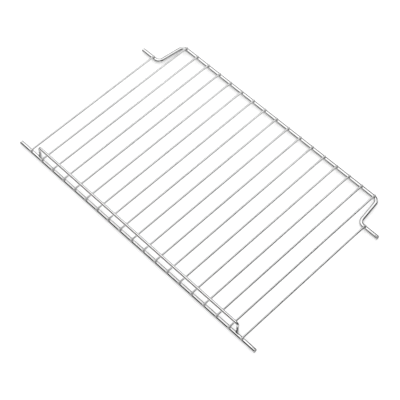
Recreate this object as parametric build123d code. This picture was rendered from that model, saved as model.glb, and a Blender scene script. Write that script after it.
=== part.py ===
# Wire rack for a countertop oven, welded from plated steel wire.
# Two thick bars lie flat and carry a row of thin cross wires on top of them.
# The far bar is stepped: its main run lies further out than the two lugs at its ends.
# A thinner rail stands above the near bar on its own bent legs.
# X runs along the bars, Y from the straight bar to the stepped bar, Z is up.
# The origin is at the middle of the rack, at the level of the bars' underside.

import os
from build123d import *

# Wire gauges
bar_diameter = 5.5
wire_diameter = 2.5
rail_diameter = 3.5

# Layout of the cross wires and the bars
wire_count = 19
wire_pitch = 18.5
bar_spacing = 227.3  # axis of the straight bar to axis of the stepped bar's main run
bar_overhang = 18.5  # axis of the outer cross wire to the bars' ends
near_wire_end = 2.1  # how far the cross wires reach past the straight bar's axis
far_wire_end = 1.1  # and past the axis of the stepped bar

# The stepped bar: corners are where the axes of two straight runs would meet
step_depth = 36.7  # axis of the main run to axis of the lugs
run_corner_outside_wire = 5.5  # measured from the last wire on the main run
lug_corner_inside_wire = 8.2  # measured from the outer wire, which lies on the lug
bar_bend_radius = 7.0  # at the axis of the bar

# The raised rail
rail_height = 14.8  # axis of the bars to axis of the rail
rail_bend_radius = 3.0  # at the axis of the rail
rail_leg_inside_wire = 10.6  # axis of the outer cross wire to the axis of the leg
rail_foot_height = 0.5  # foot of the legs above the bars' underside

# How far a welded wire has sunk into the bar that carries it
wire_weld_sink = 0.3
rail_weld_sink = 0.5

# Broken edges of the bars' ends; the cross wires and the rail's feet are cut square
bar_end_chamfer = 0.4

# Places that follow from the sizes above
bar_radius = bar_diameter / 2
wire_radius = wire_diameter / 2
rail_radius = rail_diameter / 2
bar_axis_z = bar_radius
wire_axis_z = bar_axis_z + bar_radius + wire_radius - wire_weld_sink
rail_axis_z = bar_axis_z + rail_height
straight_bar_y = -bar_spacing / 2
main_run_y = bar_spacing / 2
lug_y = main_run_y - step_depth
outer_wire_x = wire_pitch * (wire_count - 1) / 2
last_run_wire_x = outer_wire_x - wire_pitch
bar_end_x = outer_wire_x + bar_overhang
run_corner_x = last_run_wire_x + run_corner_outside_wire
lug_corner_x = outer_wire_x - lug_corner_inside_wire
rail_leg_x = outer_wire_x - rail_leg_inside_wire
rail_y = straight_bar_y + bar_radius + rail_radius - rail_weld_sink


def bent_wire(points, bend_radius, section_radius):
    """A round wire along straight runs that are joined by tangent bends."""
    path = FilletPolyline(*points, radius=bend_radius)
    section = Plane(origin=path @ 0, z_dir=path % 0) * Circle(section_radius)
    return sweep(section, path=path)


def straight_bar():
    """The near bar: one straight length with chamfered ends."""
    axis = Plane(origin=(-bar_end_x, straight_bar_y, bar_axis_z), z_dir=(1, 0, 0))
    bar = extrude(axis * Circle(bar_radius), amount=2 * bar_end_x)
    ends = bar.edges().group_by(Axis.X)
    return chamfer(ends[0] + ends[-1], bar_end_chamfer)


def stepped_bar():
    """The far bar: lug, leg, main run, leg and lug, bent from one length in one plane."""
    right_half = [(run_corner_x, main_run_y), (lug_corner_x, lug_y), (bar_end_x, lug_y)]
    left_half = [(-x, y) for x, y in reversed(right_half)]
    points = [(x, y, bar_axis_z) for x, y in left_half + right_half]
    bar = bent_wire(points, bar_bend_radius, bar_radius)
    ends = bar.edges().group_by(Axis.X)
    return chamfer(ends[0] + ends[-1], bar_end_chamfer)


def raised_rail(carrier):
    """The rail: a long run with a leg bent down at each end, its feet sunk into the straight bar's back."""
    right_half = [(rail_leg_x, rail_axis_z), (rail_leg_x, rail_foot_height)]
    left_half = [(-x, z) for x, z in reversed(right_half)]
    points = [(x, rail_y, z) for x, z in left_half + right_half]
    return bent_wire(points, rail_bend_radius, rail_radius) - carrier


def cross_wire(x, far_bar_y, carriers):
    """One cross wire, cut square just past both bars' axes and saddled over both bars."""
    near_end_y = straight_bar_y - near_wire_end
    far_end_y = far_bar_y + far_wire_end
    axis = Plane(origin=(x, near_end_y, wire_axis_z), z_dir=(0, 1, 0))
    return extrude(axis * Circle(wire_radius), amount=far_end_y - near_end_y) - carriers


near_bar = straight_bar()
far_bar = stepped_bar()
nodes = {
    "straight_bar": near_bar,
    "stepped_bar": far_bar,
    "raised_rail": raised_rail(near_bar),
}
for number in range(1, wire_count + 1):
    wire_x = wire_pitch * (number - 1) - outer_wire_x
    far_bar_y = lug_y if number in (1, wire_count) else main_run_y
    nodes[f"cross_wire_{number:02d}"] = cross_wire(wire_x, far_bar_y, [near_bar, far_bar])

os.makedirs("parts", exist_ok=True)
for name, solid in nodes.items():
    export_step(solid, f"parts/{name}.step")
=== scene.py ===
import bpy
import numpy as np
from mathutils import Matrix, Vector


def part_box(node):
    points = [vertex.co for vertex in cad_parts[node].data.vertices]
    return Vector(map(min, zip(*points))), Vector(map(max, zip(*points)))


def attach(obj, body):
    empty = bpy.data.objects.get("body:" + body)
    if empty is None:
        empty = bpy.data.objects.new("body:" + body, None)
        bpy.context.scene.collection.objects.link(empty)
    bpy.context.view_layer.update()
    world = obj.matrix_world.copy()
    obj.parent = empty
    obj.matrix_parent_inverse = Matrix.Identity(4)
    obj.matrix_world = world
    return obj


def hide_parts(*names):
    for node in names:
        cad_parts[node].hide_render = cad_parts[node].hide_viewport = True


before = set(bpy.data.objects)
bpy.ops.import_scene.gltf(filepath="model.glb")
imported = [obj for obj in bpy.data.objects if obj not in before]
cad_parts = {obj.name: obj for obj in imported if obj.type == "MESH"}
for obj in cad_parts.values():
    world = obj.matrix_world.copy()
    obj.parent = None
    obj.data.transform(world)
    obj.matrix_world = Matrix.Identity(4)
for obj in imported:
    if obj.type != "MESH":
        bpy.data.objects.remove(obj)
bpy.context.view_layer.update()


# Straight bar
# A thick steel rod, drawn through a die, sheared to length and plated bright after welding.
# It lies along one long edge under the cross wires, and its bare ends slide in the oven's side grooves.
ring_points = 40
ring_angle = np.arange(ring_points) * 2 * np.pi / ring_points
face_rings = 4
edge_rings = 6
straight_station_count = 60
bar_edge_round = 0.0005
bar_low, bar_high = (np.array(corner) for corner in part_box("straight_bar"))
bar_radius = (bar_high[2] - bar_low[2]) / 2
bar_axis_z = (bar_high[2] + bar_low[2]) / 2
straight_bar_y = bar_low[1] + bar_radius
bar_end_x = bar_high[0]
along_bars = (1.0, 0.0, 0.0)
upward = (0.0, 0.0, 1.0)


def cut_end(radius, edge_round):
    """Rings of a sheared end, as set-back from the cut and ring radius: a flat face, grown from its middle,
    then a quarter circle that turns the face's rim into the wall."""
    face = np.linspace(1 / face_rings, 1.0, face_rings)
    turn = np.linspace(0.0, np.pi / 2, edge_rings + 1)[1:]
    set_back = np.concatenate([0 * face, edge_round * (1 - np.cos(turn))])
    ring_radius = np.concatenate([face * (radius - edge_round), radius - edge_round * (1 - np.sin(turn))])
    return set_back, ring_radius


def carried_rings(axis, tangent, rise, ring_radius):
    """Rings carried along an axis: each point is the axis plus the ring's radius times (cosine of its angle
    towards the side plus sine of its angle towards the rise), where the side is rise x tangent."""
    side = np.cross(rise, tangent)
    spread = np.cos(ring_angle)[:, None] * side[:, None, :] + np.sin(ring_angle)[:, None] * np.asarray(rise)
    return axis[:, None, :] + ring_radius[:, None, None] * spread


def metal_piece(name, vertices, faces, wire_place, lost_shine):
    """A smooth piece of metal, whose vertices keep their place on the drawn wire and their lost shine."""
    mesh = bpy.data.meshes.new(name)
    mesh.from_pydata(vertices.reshape(-1, 3).tolist(), [], faces)
    mesh.polygons.foreach_set("use_smooth", np.ones(len(mesh.polygons), dtype=bool))
    place_layer = mesh.attributes.new("wire_place", "FLOAT_VECTOR", "POINT")
    place_layer.data.foreach_set("vector", wire_place.ravel())
    shine_layer = mesh.attributes.new("lost_shine", "FLOAT", "POINT")
    shine_layer.data.foreach_set("value", lost_shine)
    piece = bpy.data.objects.new(name, mesh)
    bpy.context.scene.collection.objects.link(piece)
    return piece


def closed_wire(name, axis, rings, stations, ring_radius, coil_start, dulled=0.0):
    """A closed round wire: rings joined by quads, with a fan of triangles to the middle of each cut face.
    The place on the drawn wire is the length along the coil, then radius x cosine and radius x sine of the
    ring's angle. The cut faces have lost all their shine, and the other rings their dulled share."""
    count = len(rings)
    vertices = np.concatenate([rings.reshape(-1, 3), axis[:1], axis[-1:]])
    row = np.arange(count - 1)[:, None] * ring_points
    here = np.arange(ring_points)
    beside = (here + 1) % ring_points
    quads = np.stack([row + here, row + beside, row + ring_points + beside, row + ring_points + here], -1)
    first_middle = np.full(ring_points, count * ring_points)
    last_ring = (count - 1) * ring_points
    start_fan = np.stack([first_middle, beside, here], -1)
    end_fan = np.stack([first_middle + 1, last_ring + here, last_ring + beside], -1)
    faces = quads.reshape(-1, 4).tolist() + start_fan.tolist() + end_fan.tolist()
    along = np.repeat(coil_start + stations, ring_points)
    across = (ring_radius[:, None] * np.cos(ring_angle)).ravel()
    over = (ring_radius[:, None] * np.sin(ring_angle)).ravel()
    middles = np.array([[coil_start + stations[0], 0, 0], [coil_start + stations[-1], 0, 0]])
    wire_place = np.concatenate([np.stack([along, across, over], -1), middles])
    lost_shine = np.zeros((count, ring_points)) + np.reshape(dulled, (-1, 1))
    lost_shine[:face_rings] = 1
    lost_shine[-face_rings:] = 1
    lost_shine = np.concatenate([lost_shine.ravel(), [1, 1]])
    return metal_piece(name, vertices, faces, wire_place, lost_shine)


def wire_on_path(name, path, rise, radius, edge_round, coil_start):
    """A round wire on a path with straight ends: rings at the path's stations, and two cut ends."""
    path_stations, path_axis, path_tangent = path
    set_back, end_radius = cut_end(radius, edge_round)
    length = path_stations[-1]
    inner = path_stations[(path_stations > edge_round) & (path_stations < length - edge_round)]
    stations = np.concatenate([set_back, inner, (length - set_back)[::-1]])
    ring_radius = np.concatenate([end_radius, np.full(len(inner), radius), end_radius[::-1]])
    axis = np.stack([np.interp(stations, path_stations, path_axis[:, k]) for k in range(3)], -1)
    tangent = np.stack([np.interp(stations, path_stations, path_tangent[:, k]) for k in range(3)], -1)
    rings = carried_rings(axis, tangent, rise, ring_radius)
    return closed_wire(name, axis, rings, stations, ring_radius, coil_start)


def joined(tree, operation, first, second):
    """Two values joined by one step of arithmetic in a node tree: a socket, and a socket or a number."""
    node = tree.nodes.new("ShaderNodeMath")
    node.operation = operation
    tree.links.new(first, node.inputs[0])
    if isinstance(second, float):
        node.inputs[1].default_value = second
    else:
        tree.links.new(second, node.inputs[1])
    return node.outputs[0]


def ranged(tree, value, start, end, start_result, end_result, blend="LINEAR"):
    """A value carried over from one range to another, in a node tree, and held still past both ends."""
    node = tree.nodes.new("ShaderNodeMapRange")
    node.interpolation_type = blend
    node.inputs["From Min"].default_value = start
    node.inputs["From Max"].default_value = end
    node.inputs["To Min"].default_value = start_result
    node.inputs["To Max"].default_value = end_result
    tree.links.new(value, node.inputs["Value"])
    return node.outputs["Result"]


def noise(tree, place, scale, detail):
    """A soft random value at each place, with lumps about one over the scale wide."""
    node = tree.nodes.new("ShaderNodeTexNoise")
    node.inputs["Scale"].default_value = scale
    node.inputs["Detail"].default_value = detail
    tree.links.new(place, node.inputs["Vector"])
    return node.outputs["Fac"]


def plating_group():
    """Bright plating on drawn wire, from the place on the wire and the place on the rack.
    Lines: noise stretched along the wire. Haze: a slow cloud. Both dull the shine a little.
    Where the shine is lost, as on a cut face, the metal is darker, rougher and grained."""
    line_length = 0.06
    line_scale = 1.0
    line_detail = 2.0
    line_roughness = 0.05
    cloud_scale = 45.0
    cloud_detail = 5.0
    haze_start = 0.35
    haze_end = 0.75
    haze_roughness = 0.10
    dull_start = 0.30
    dull_end = 0.80
    dullest_share = 0.90
    grain_scale = 900.0
    grain_detail = 2.0
    cut_roughness = 0.50
    group = bpy.data.node_groups.new("bright_plating", "ShaderNodeTree")
    for socket, kind in (("Wire Place", "NodeSocketVector"), ("Rack Place", "NodeSocketVector"),
                         ("Lost Shine", "NodeSocketFloat"), ("Line Spacing", "NodeSocketFloat"),
                         ("Clean Roughness", "NodeSocketFloat"),
                         ("Base", "NodeSocketColor"), ("Cut", "NodeSocketColor")):
        group.interface.new_socket(socket, in_out="INPUT", socket_type=kind)
    for socket, kind in (("Color", "NodeSocketColor"), ("Roughness", "NodeSocketFloat"),
                         ("Height", "NodeSocketFloat")):
        group.interface.new_socket(socket, in_out="OUTPUT", socket_type=kind)
    link = group.links.new
    given = group.nodes.new("NodeGroupInput").outputs
    made = group.nodes.new("NodeGroupOutput").inputs

    # Drawing lines, long along the wire and fine across it
    ways = group.nodes.new("ShaderNodeSeparateXYZ")
    link(given["Wire Place"], ways.inputs[0])
    stretched = group.nodes.new("ShaderNodeCombineXYZ")
    link(joined(group, "DIVIDE", ways.outputs["X"], line_length), stretched.inputs["X"])
    for way in ("Y", "Z"):
        link(joined(group, "DIVIDE", ways.outputs[way], given["Line Spacing"]), stretched.inputs[way])
    lines = noise(group, stretched.outputs[0], line_scale, line_detail)
    cloud = noise(group, given["Rack Place"], cloud_scale, cloud_detail)
    grain = noise(group, given["Rack Place"], grain_scale, grain_detail)

    # Roughness: clean metal, with lines and haze on it, and rougher where the shine is lost
    haze = ranged(group, cloud, haze_start, haze_end, 0.0, haze_roughness)
    lined = joined(group, "ADD", joined(group, "MULTIPLY", lines, line_roughness), haze)
    roughness = group.nodes.new("ShaderNodeMix")
    roughness.inputs["B"].default_value = cut_roughness
    link(given["Lost Shine"], roughness.inputs["Factor"])
    link(joined(group, "ADD", lined, given["Clean Roughness"]), roughness.inputs["A"])
    link(roughness.outputs["Result"], made["Roughness"])

    # Colour: the mix node's sockets for colours are numbers 6, 7 and, going out, 2
    wall = group.nodes.new("ShaderNodeVectorMath")
    wall.operation = "SCALE"
    link(given["Base"], wall.inputs[0])
    link(ranged(group, cloud, dull_start, dull_end, 1.0, dullest_share), wall.inputs["Scale"])
    color = group.nodes.new("ShaderNodeMix")
    color.data_type = "RGBA"
    link(given["Lost Shine"], color.inputs[0])
    link(wall.outputs[0], color.inputs[6])
    link(given["Cut"], color.inputs[7])
    link(color.outputs[2], made["Color"])

    # Relief: the lines, and the grain where the shine is lost
    relief = joined(group, "ADD", lines, joined(group, "MULTIPLY", grain, given["Lost Shine"]))
    link(relief, made["Height"])
    return group


bright_plating = plating_group()
bright_chrome = (0.65, 0.65, 0.65)
sheared_steel = (0.24, 0.24, 0.24)
relief_strength = 0.3


def plated_material(name, base, line_spacing, line_height, clean_roughness):
    """Plated wire of one gauge: a metal whose colour, shine and fine relief come from the bright plating."""
    material = bpy.data.materials.new(name)
    material.use_nodes = True
    nodes = material.node_tree.nodes
    link = material.node_tree.links.new
    metal = nodes["Principled BSDF"]
    metal.inputs["Metallic"].default_value = 1.0
    wire_place = nodes.new("ShaderNodeAttribute")
    wire_place.attribute_name = "wire_place"
    lost_shine = nodes.new("ShaderNodeAttribute")
    lost_shine.attribute_name = "lost_shine"
    rack_place = nodes.new("ShaderNodeTexCoord")
    plating = nodes.new("ShaderNodeGroup")
    plating.node_tree = bright_plating
    plating.inputs["Line Spacing"].default_value = line_spacing
    plating.inputs["Clean Roughness"].default_value = clean_roughness
    plating.inputs["Base"].default_value = (*base, 1)
    plating.inputs["Cut"].default_value = (*sheared_steel, 1)
    link(wire_place.outputs["Vector"], plating.inputs["Wire Place"])
    link(rack_place.outputs["Object"], plating.inputs["Rack Place"])
    link(lost_shine.outputs["Fac"], plating.inputs["Lost Shine"])
    bump = nodes.new("ShaderNodeBump")
    bump.inputs["Strength"].default_value = relief_strength
    bump.inputs["Distance"].default_value = line_height
    link(plating.outputs["Height"], bump.inputs["Height"])
    link(bump.outputs["Normal"], metal.inputs["Normal"])
    link(plating.outputs["Color"], metal.inputs["Base Color"])
    link(plating.outputs["Roughness"], metal.inputs["Roughness"])
    return material


bar_plating = plated_material("plated_bar", bright_chrome, line_spacing=0.0003, line_height=0.00001,
                              clean_roughness=0.05)
straight_stations = np.linspace(0.0, 2 * bar_end_x, straight_station_count)
straight_start = np.array([-bar_end_x, straight_bar_y, bar_axis_z])
straight_axis = straight_start + straight_stations[:, None] * along_bars
straight_tangent = np.tile(along_bars, (straight_station_count, 1))
straight_path = (straight_stations, straight_axis, straight_tangent)
straight_bar = wire_on_path("plated_straight_bar", straight_path, upward, bar_radius, bar_edge_round, 0.0)
straight_bar.data.materials.append(bar_plating)
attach(straight_bar, "root")
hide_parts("straight_bar")


# Stepped bar
# The same thick rod, bent cold in one plane: lug, leg, main run, leg and lug.
# The main run carries the far ends of the cross wires, and the lugs slide in the other pair of grooves.
run_low, run_high = (np.array(corner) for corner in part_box("stepped_bar"))
main_run_y = run_high[1] - bar_radius
lug_y = run_low[1] + bar_radius
outer_wire_x = np.mean([corner[0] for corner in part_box("cross_wire_19")])
last_run_wire_x = np.mean([corner[0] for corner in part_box("cross_wire_18")])
run_corner_outside_wire = 0.0055
lug_corner_inside_wire = 0.0082
run_corner_x = last_run_wire_x + run_corner_outside_wire
lug_corner_x = outer_wire_x - lug_corner_inside_wire
bar_bend_radius = 0.007


def bent_path(corners, bend_radius, bend_stations=18, run_step=0.006):
    """Straight runs between corners, joined by tangent arcs. At a corner that turns by some angle the arc
    starts radius x tan(half the angle) before it, and a point on it is the start plus radius x (sine of the
    part turned times the way in, plus one less its cosine times the inward way). Long runs get stations
    in between. Gives the stations, and the axis and its tangent at each."""
    corners = np.asarray(corners, dtype=float)
    ways = np.diff(corners, axis=0)
    ways = ways / np.linalg.norm(ways, axis=1, keepdims=True)
    points = [corners[:1]]
    tangents = [ways[:1]]
    for corner, way_in, way_out in zip(corners[1:-1], ways[:-1], ways[1:]):
        turn = np.arccos(np.dot(way_in, way_out))
        inward = (way_out - np.cos(turn) * way_in) / np.sin(turn)
        start = corner - bend_radius * np.tan(turn / 2) * way_in
        part = np.linspace(0.0, turn, bend_stations)[:, None]
        points.append(start + bend_radius * (np.sin(part) * way_in + (1 - np.cos(part)) * inward))
        tangents.append(np.cos(part) * way_in + np.sin(part) * inward)
    points = np.concatenate(points + [corners[-1:]])
    tangents = np.concatenate(tangents + [ways[-1:]])
    gaps = np.linalg.norm(np.diff(points, axis=0), axis=1)
    stations = np.concatenate([[0.0], np.cumsum(gaps)])
    steps = np.maximum(np.ceil(gaps / run_step).astype(int), 1)
    first_steps = np.concatenate([[0], np.cumsum(steps)])
    finer = np.interp(np.arange(first_steps[-1] + 1), first_steps, stations)
    points = np.stack([np.interp(finer, stations, points[:, k]) for k in range(3)], -1)
    tangents = np.stack([np.interp(finer, stations, tangents[:, k]) for k in range(3)], -1)
    return finer, points, tangents


right_half = [(run_corner_x, main_run_y), (lug_corner_x, lug_y), (bar_end_x, lug_y)]
left_half = [(-x, y) for x, y in reversed(right_half)]
stepped_corners = [(x, y, bar_axis_z) for x, y in left_half + right_half]
stepped_path = bent_path(stepped_corners, bar_bend_radius)
stepped_coil_start = 2 * bar_end_x
stepped_bar = wire_on_path("plated_stepped_bar", stepped_path, upward, bar_radius, bar_edge_round,
                           stepped_coil_start)
stepped_bar.data.materials.append(bar_plating)
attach(stepped_bar, "root")
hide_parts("stepped_bar")


# Raised rail
# A thinner drawn wire with a leg bent down at each end, plated with the rest of the rack.
# It stands above the straight bar, and its two feet are welded to the bar's inner side.
rail_low, rail_high = (np.array(corner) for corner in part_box("raised_rail"))
rail_radius = (rail_high[1] - rail_low[1]) / 2
rail_y = (rail_high[1] + rail_low[1]) / 2
rail_leg_x = rail_high[0] - rail_radius
rail_axis_z = rail_high[2] - rail_radius
rail_foot_z = rail_low[2]
rail_bend_radius = 0.003
rail_edge_round = 0.0003
towards_front = (0.0, -1.0, 0.0)
rail_plating = plated_material("plated_rail", bright_chrome, line_spacing=0.0002, line_height=0.000008,
                               clean_roughness=0.05)
rail_corners = [(-rail_leg_x, rail_y, rail_foot_z), (-rail_leg_x, rail_y, rail_axis_z),
                (rail_leg_x, rail_y, rail_axis_z), (rail_leg_x, rail_y, rail_foot_z)]
rail_path = bent_path(rail_corners, rail_bend_radius)
raised_rail = wire_on_path("plated_raised_rail", rail_path, towards_front, rail_radius, rail_edge_round, 0.0)
raised_rail.data.materials.append(rail_plating)
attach(raised_rail, "root")
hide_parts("raised_rail")


# Cross wires
# Thin drawn wires, sheared to length from one coil and spot welded on top of both bars.
# The electrode has pressed a small flat into the top of each crossing, and the wire is darker and duller by
# each far crossing.
wire_names = sorted(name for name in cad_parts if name.startswith("cross_wire"))
wire_edge_round = 0.0003
welded_end = 0.0060
weld_station_count = 18
run_station_count = 30
electrode_depth = 0.00005
electrode_reach = 0.0016
far_weld_dullness = 0.35
far_weld_reach = 0.0030
towards_back = (0.0, 1.0, 0.0)
# Painted light: the cross wires carry the bars' own plating, but get a lighter base colour than
# bright_chrome so that they come out lighter.
painted_lighter_chrome = (0.75, 0.75, 0.75)
wire_plating = plated_material("plated_wire", painted_lighter_chrome, line_spacing=0.00018, line_height=0.000006,
                               clean_roughness=0.25)


def fading(distance, reach):
    """A share that is one at no distance and fades out past the reach:
    e to the power of minus (distance over reach) to the fourth."""
    return np.exp(-(distance / reach) ** 4)


wire_spans = []
for order, node in enumerate(wire_names):
    low, high = (np.array(corner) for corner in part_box(node))
    wire_radius = (high[0] - low[0]) / 2
    wire_axis_z = high[2] - wire_radius
    wire_x = (high[0] + low[0]) / 2
    wire_length = high[1] - low[1]
    far_bar_y = lug_y if order in (0, len(wire_names) - 1) else main_run_y
    near_wire_end = straight_bar_y - low[1]
    far_wire_end = high[1] - far_bar_y
    set_back, end_radius = cut_end(wire_radius, wire_edge_round)
    by_weld = np.linspace(wire_edge_round, welded_end, weld_station_count)[1:]
    run = np.linspace(welded_end, wire_length - welded_end, run_station_count)[1:-1]
    first_end = np.concatenate([set_back, by_weld])
    stations = np.concatenate([first_end, run, wire_length - first_end[::-1]])
    plain = np.full(len(stations) - 2 * len(end_radius), wire_radius)
    ring_radius = np.concatenate([end_radius, plain, end_radius[::-1]])
    wire_start = np.array([wire_x, low[1], wire_axis_z])
    axis = wire_start + stations[:, None] * towards_back
    tangent = np.tile(towards_back, (len(stations), 1))
    rings = carried_rings(axis, tangent, upward, ring_radius)
    from_near_weld = abs(stations - near_wire_end)
    from_far_weld = abs(wire_length - stations - far_wire_end)
    pressed = electrode_depth * fading(np.minimum(from_near_weld, from_far_weld), electrode_reach)
    top = wire_axis_z + wire_radius - pressed
    rings[..., 2] = np.minimum(rings[..., 2], top[:, None])
    # Darker, rougher and closer to the cut face's colour within a few millimetres of each far crossing.
    far_weld_dulled = far_weld_dullness * fading(from_far_weld, far_weld_reach)
    wire = closed_wire(f"plated_{node}", axis, rings, stations, ring_radius, order * wire_length, far_weld_dulled)
    wire.data.materials.append(wire_plating)
    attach(wire, "root")
    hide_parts(node)
    wire_spans.append((wire_x, far_bar_y))


# Welds
# Low uneven collars of metal, melted by the welding current and squeezed out round each joint.
# They were plated with the rest of the rack, but are duller than the drawn wire.
collar_points = 32
bow_points = 7
collar_reach_in = 0.0020
collar_reach_on_bar = 0.0016
collar_depth = 0.0003
collar_waves = 3
collar_unevenness = 0.20
wire_wall_share = 0.85
bar_wall_share = 0.66
seam_wire_share = 0.70
seam_bar_share = 0.52
inside_share = 0.70
weld_dullness = 0.20
# Painted light: the collars take the cross wires' lightened base colour.
weld_plating = plated_material("plated_weld", painted_lighter_chrome, line_spacing=0.0006, line_height=0.00002,
                               clean_roughness=0.30)


def weld_collars(name, bar_places, wire_way, lift_way, wire_radius, lift, reach_out, seed):
    """One collar round each crossing, in the bar's own frame: x along the bar, y along the wire towards its
    nearer end, z from the bar to the wire. By the angle round the crossing the collar starts on the wire's
    wall, at (share of the wire's radius x cosine, reach x sine), and ends on the bar's wall. Between them
    it bows in to the seam as (1 - t) squared x start + 2 t (1 - t) x seam + t squared x end. Two more rows
    close it inside the metal. A seeded mean of waves round the crossing makes each collar uneven."""
    draw = np.random.default_rng(seed)
    bar_places = np.asarray(bar_places)
    count = len(bar_places)
    angle = np.arange(collar_points) * 2 * np.pi / collar_points
    waves = np.arange(1, collar_waves + 1)[:, None]
    phases = draw.uniform(0, 2 * np.pi, (count, collar_waves, 1))
    uneven = 1 + collar_unevenness * np.cos(waves * angle + phases).mean(1)
    across = uneven * np.cos(angle)
    outward = uneven * np.sin(angle)
    reach = np.where(np.sin(angle) > 0, reach_out, collar_reach_in)
    start_x = wire_wall_share * wire_radius * across
    start = np.stack([start_x, reach * outward, lift - np.sqrt(wire_radius ** 2 - start_x ** 2)], -1)
    end_y = bar_wall_share * bar_radius * outward
    end = np.stack([collar_reach_on_bar * across, end_y, np.sqrt(bar_radius ** 2 - end_y ** 2)], -1)
    seam_x = seam_wire_share * wire_radius * np.cos(angle)
    seam_y = seam_bar_share * bar_radius * np.sin(angle)
    seam_on_wire = lift - np.sqrt(wire_radius ** 2 - seam_x ** 2)
    seam_on_bar = np.sqrt(bar_radius ** 2 - seam_y ** 2)
    seam = np.stack([seam_x, seam_y, (seam_on_wire + seam_on_bar) / 2], -1)
    part = np.linspace(0, 1, bow_points)[:, None]
    bow = ((1 - part) ** 2 * start[:, :, None] + 2 * part * (1 - part) * seam[:, None]
           + part ** 2 * end[:, :, None])
    inward = np.array([inside_share, inside_share, 1.0])
    under_end = end * inward - (0, 0, collar_depth)
    over_start = start * inward + (0, 0, collar_depth)
    rows = np.concatenate([bow, under_end[:, :, None], over_start[:, :, None]], 2)
    ways = np.array([np.cross(wire_way, lift_way), wire_way, lift_way])
    vertices = bar_places[:, None, None] + rows @ ways
    row_count = rows.shape[2]
    collar = np.arange(count)[:, None, None] * collar_points
    here = (collar + np.arange(collar_points)[:, None]) * row_count
    beside = (collar + (np.arange(collar_points)[:, None] + 1) % collar_points) * row_count
    low = np.arange(row_count)
    high = (low + 1) % row_count
    quads = np.stack([here + low, here + high, beside + high, beside + low], -1)
    dulled = np.full(count * collar_points * row_count, weld_dullness)
    piece = metal_piece(name, vertices, quads.reshape(-1, 4).tolist(), rows, dulled)
    piece.data.materials.append(weld_plating)
    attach(piece, "root")


# All cross wires have one gauge and end alike past the bars, so the last one's sizes serve for all.
# A collar stops short of the wire's cut end by one and a half times the end's rounded edge.
wire_lift = wire_axis_z - bar_axis_z
rim_rounds = 1.5
wire_rim = rim_rounds * wire_edge_round
rail_rim = rim_rounds * rail_edge_round
near_places = [(wire_x, straight_bar_y, bar_axis_z) for wire_x, far_y in wire_spans]
far_places = [(wire_x, far_y, bar_axis_z) for wire_x, far_y in wire_spans]
weld_collars("welds_on_straight_bar", near_places, towards_front, upward, wire_radius, wire_lift,
             near_wire_end - wire_rim, seed=1)
weld_collars("welds_on_stepped_bar", far_places, towards_back, upward, wire_radius, wire_lift,
             far_wire_end - wire_rim, seed=2)
downward = (0.0, 0.0, -1.0)
rail_lift = rail_y - straight_bar_y
foot_below_axis = bar_axis_z - rail_foot_z
foot_places = [(side * rail_leg_x, straight_bar_y, bar_axis_z) for side in (-1, 1)]
weld_collars("welds_at_rail_feet", foot_places, downward, towards_back, rail_radius, rail_lift,
             foot_below_axis - rail_rim, seed=3)


# Floor
# A white table top that the rack lies on. The camera and the bright metal see it as plain white:
# part of that is light that falls on it, which keeps the rack's shadow, and the rest is a glow of its own.
floor_half = 2.0
table_shade = 0.90
seen_table_shade = 0.60
seen_table_glow = 0.57
floor_mesh = bpy.data.meshes.new("floor")
floor_corners = [(-floor_half, -floor_half, 0), (floor_half, -floor_half, 0),
                 (floor_half, floor_half, 0), (-floor_half, floor_half, 0)]
floor_mesh.from_pydata(floor_corners, [], [(0, 1, 2, 3)])
floor = bpy.data.objects.new("floor", floor_mesh)
bpy.context.scene.collection.objects.link(floor)
floor_material = bpy.data.materials.new("white_table")
floor_material.use_nodes = True
table = floor_material.node_tree
table.nodes.clear()
surface = table.nodes.new("ShaderNodeOutputMaterial")
matt = table.nodes.new("ShaderNodeBsdfDiffuse")
matt.inputs["Color"].default_value = (table_shade, table_shade, table_shade, 1)
seen_matt = table.nodes.new("ShaderNodeBsdfDiffuse")
seen_matt.inputs["Color"].default_value = (seen_table_shade, seen_table_shade, seen_table_shade, 1)
glow = table.nodes.new("ShaderNodeEmission")
glow.inputs["Strength"].default_value = seen_table_glow
seen = table.nodes.new("ShaderNodeAddShader")
table.links.new(seen_matt.outputs[0], seen.inputs[0])
table.links.new(glow.outputs[0], seen.inputs[1])
ray = table.nodes.new("ShaderNodeLightPath").outputs
camera_or_glossy = joined(table, "MAXIMUM", ray["Is Camera Ray"], ray["Is Glossy Ray"])
direct = joined(table, "MAXIMUM", camera_or_glossy, ray["Is Transmission Ray"])
chosen = table.nodes.new("ShaderNodeMixShader")
table.links.new(direct, chosen.inputs[0])
table.links.new(matt.outputs[0], chosen.inputs[1])
table.links.new(seen.outputs[0], chosen.inputs[2])
table.links.new(chosen.outputs[0], surface.inputs["Surface"])
floor_mesh.materials.append(floor_material)


# Dark flags
# Black and grey cards set around and above the rack, as a photographer does with bright metal.
# Only reflections see them: they draw the dark lines along the wires.
def card_material(name, shade):
    """Matt card of one plain shade, without any shine."""
    material = bpy.data.materials.new(name)
    material.use_nodes = True
    card = material.node_tree.nodes["Principled BSDF"]
    card.inputs["Base Color"].default_value = (shade, shade, shade, 1)
    card.inputs["Roughness"].default_value = 1.0
    card.inputs["Specular IOR Level"].default_value = 0.0
    return material


black_card = card_material("black_card", 0.01)
grey_card = card_material("grey_card", 0.40)


def hung_card(name, corners, material=black_card):
    """A flat card with four corners, which only reflections see."""
    mesh = bpy.data.meshes.new(name)
    mesh.from_pydata(corners, [], [(0, 1, 2, 3)])
    mesh.materials.append(material)
    card = bpy.data.objects.new(name, mesh)
    bpy.context.scene.collection.objects.link(card)
    card.visible_camera = False
    card.visible_diffuse = False
    card.visible_shadow = False


def upright_card(name, start, end, low, start_height, end_height, material=black_card):
    """A card that stands over a line on the floor, with a level lower edge and a height at each end."""
    hung_card(name, [(*start, low), (*end, low), (*end, end_height), (*start, start_height)], material)


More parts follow.
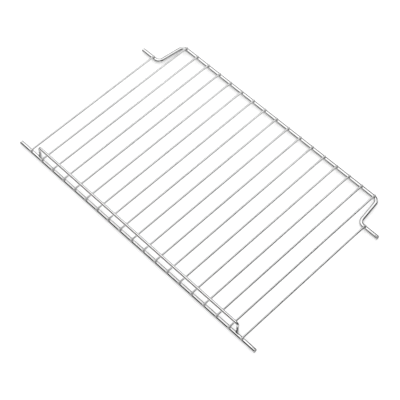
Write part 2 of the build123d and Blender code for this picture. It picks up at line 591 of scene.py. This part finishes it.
# In front, for the lower side of both bars and of the rail: a low black card, and a grey one above it
front_left = -0.9
front_right = 0.25
front_y = -0.18
front_top_y = -0.26
upright_card("front_flag", (front_left, front_y), (front_right, front_y),
             low=0.026, start_height=0.155, end_height=0.155)
upright_card("front_flag_top", (front_left, front_top_y), (front_right, front_top_y),
             low=0.15, start_height=0.45, end_height=0.45, material=grey_card)

# On the right, for the right side of the cross wires and of the legs
right_x = 0.30
near_right_x = 0.23
step_x = 0.205
upright_card("right_flag", (right_x, -0.15), (right_x, 0.23), low=0.01, start_height=1.90, end_height=0.02)
upright_card("near_right_flag", (near_right_x, -0.14), (near_right_x, 0.07),
             low=0.01, start_height=1.40, end_height=0.40)
upright_card("step_flag", (step_x, 0.06), (step_x, 0.15), low=0.008, start_height=0.09, end_height=0.09)
upright_card("step_flag_end", (step_x, 0.15), (step_x, 0.24), low=0.008, start_height=0.09, end_height=0.03)

# Level, above the right end, for the top of the cross wires there
roof_z = 0.40
roof_near_y = 0.0
roof_far_y = 0.30
roof_right_x = 0.35
roof_near_left_x = 0.06
roof_far_left_x = 0.14
hung_card("roof_flag", [(roof_near_left_x, roof_near_y, roof_z), (roof_right_x, roof_near_y, roof_z),
                        (roof_right_x, roof_far_y, roof_z), (roof_far_left_x, roof_far_y, roof_z)])

# Behind and on the left, for the upper side of the bars and the left side of the cross wires
back_y = 1.00
left_x = -1.2
upright_card("back_flag", (left_x, back_y), (0.2, back_y), low=0.01, start_height=0.30, end_height=1.40)
upright_card("left_flag", (left_x, 0.25), (left_x, 0.85), low=0.01, start_height=0.80, end_height=0.80)


# Light
# A bright overcast dome for soft light from above, which the camera itself sees as plain white.
# A brighter patch above the rack is the key light; the room is dimmer to the left and up to the right.
dome_level = 0.85
seen_dome_level = 1.0
world = bpy.data.worlds.new("studio_dome")
bpy.context.scene.world = world
world.use_nodes = True
sky = world.node_tree
dome = sky.nodes["Background"]
dome.inputs["Color"].default_value = (1, 1, 1, 1)
way = sky.nodes.new("ShaderNodeTexCoord")


def dome_patch(patch_way, outer_angle, inner_angle, share):
    """A round patch of the dome: the share of its light that is left there, by the cosine of the angle to
    the middle of the patch, with a soft edge from the outer to the inner angle in degrees."""
    toward = sky.nodes.new("ShaderNodeVectorMath")
    toward.operation = "DOT_PRODUCT"
    toward.inputs[1].default_value = np.array(patch_way) / np.linalg.norm(patch_way)
    sky.links.new(way.outputs["Generated"], toward.inputs[0])
    outer_cosine, inner_cosine = np.cos(np.radians([outer_angle, inner_angle]))
    return ranged(sky, toward.outputs["Value"], outer_cosine, inner_cosine, 1.0, share, "SMOOTHSTEP")


key_patch = dome_patch((-0.44, 0.26, 0.86), outer_angle=44, inner_angle=20, share=2.1)
left_patch = dome_patch((-0.95, 0.30, 0.10), outer_angle=55, inner_angle=30, share=0.62)
corner_patch = dome_patch((0.22, 0.10, 0.97), outer_angle=28, inner_angle=13, share=0.65)
key_level = joined(sky, "MULTIPLY", key_patch, dome_level)
left_level = joined(sky, "MULTIPLY", key_level, left_patch)
brightness = joined(sky, "MULTIPLY", left_level, corner_patch)
shown = sky.nodes.new("ShaderNodeMix")
shown.inputs["B"].default_value = seen_dome_level
sky_ray = sky.nodes.new("ShaderNodeLightPath")
sky.links.new(sky_ray.outputs["Is Camera Ray"], shown.inputs["Factor"])
sky.links.new(brightness, shown.inputs["A"])
sky.links.new(shown.outputs["Result"], dome.inputs["Strength"])


# Camera
# It looks down on the rack from the front right, with a long lens, as in the photograph.
lens = 112.04
far_limit = 20.0
camera_target = np.array([0.014252, -0.024485, 0.0025])
camera_distance = 1.37455
camera_azimuth = np.radians(46.2655)
camera_elevation = np.radians(57.4958)
camera_roll = np.radians(-1.0879)
back = np.array([np.sin(camera_azimuth) * np.cos(camera_elevation),
                 -np.cos(camera_azimuth) * np.cos(camera_elevation), np.sin(camera_elevation)])
level_right = np.array([np.cos(camera_azimuth), np.sin(camera_azimuth), 0.0])
level_up = np.cross(back, level_right)
right = np.cos(camera_roll) * level_right + np.sin(camera_roll) * level_up
up = np.cross(back, right)
camera_place = np.eye(4)
camera_place[:3, 0] = right
camera_place[:3, 1] = up
camera_place[:3, 2] = back
camera_place[:3, 3] = camera_target + camera_distance * back
camera_data = bpy.data.cameras.new("camera")
camera_data.lens = lens
camera_data.clip_end = far_limit
camera = bpy.data.objects.new("camera", camera_data)
camera.matrix_world = camera_place.T.tolist()
bpy.context.scene.collection.objects.link(camera)
bpy.context.scene.camera = camera
bpy.context.scene.view_settings.view_transform = "Standard"
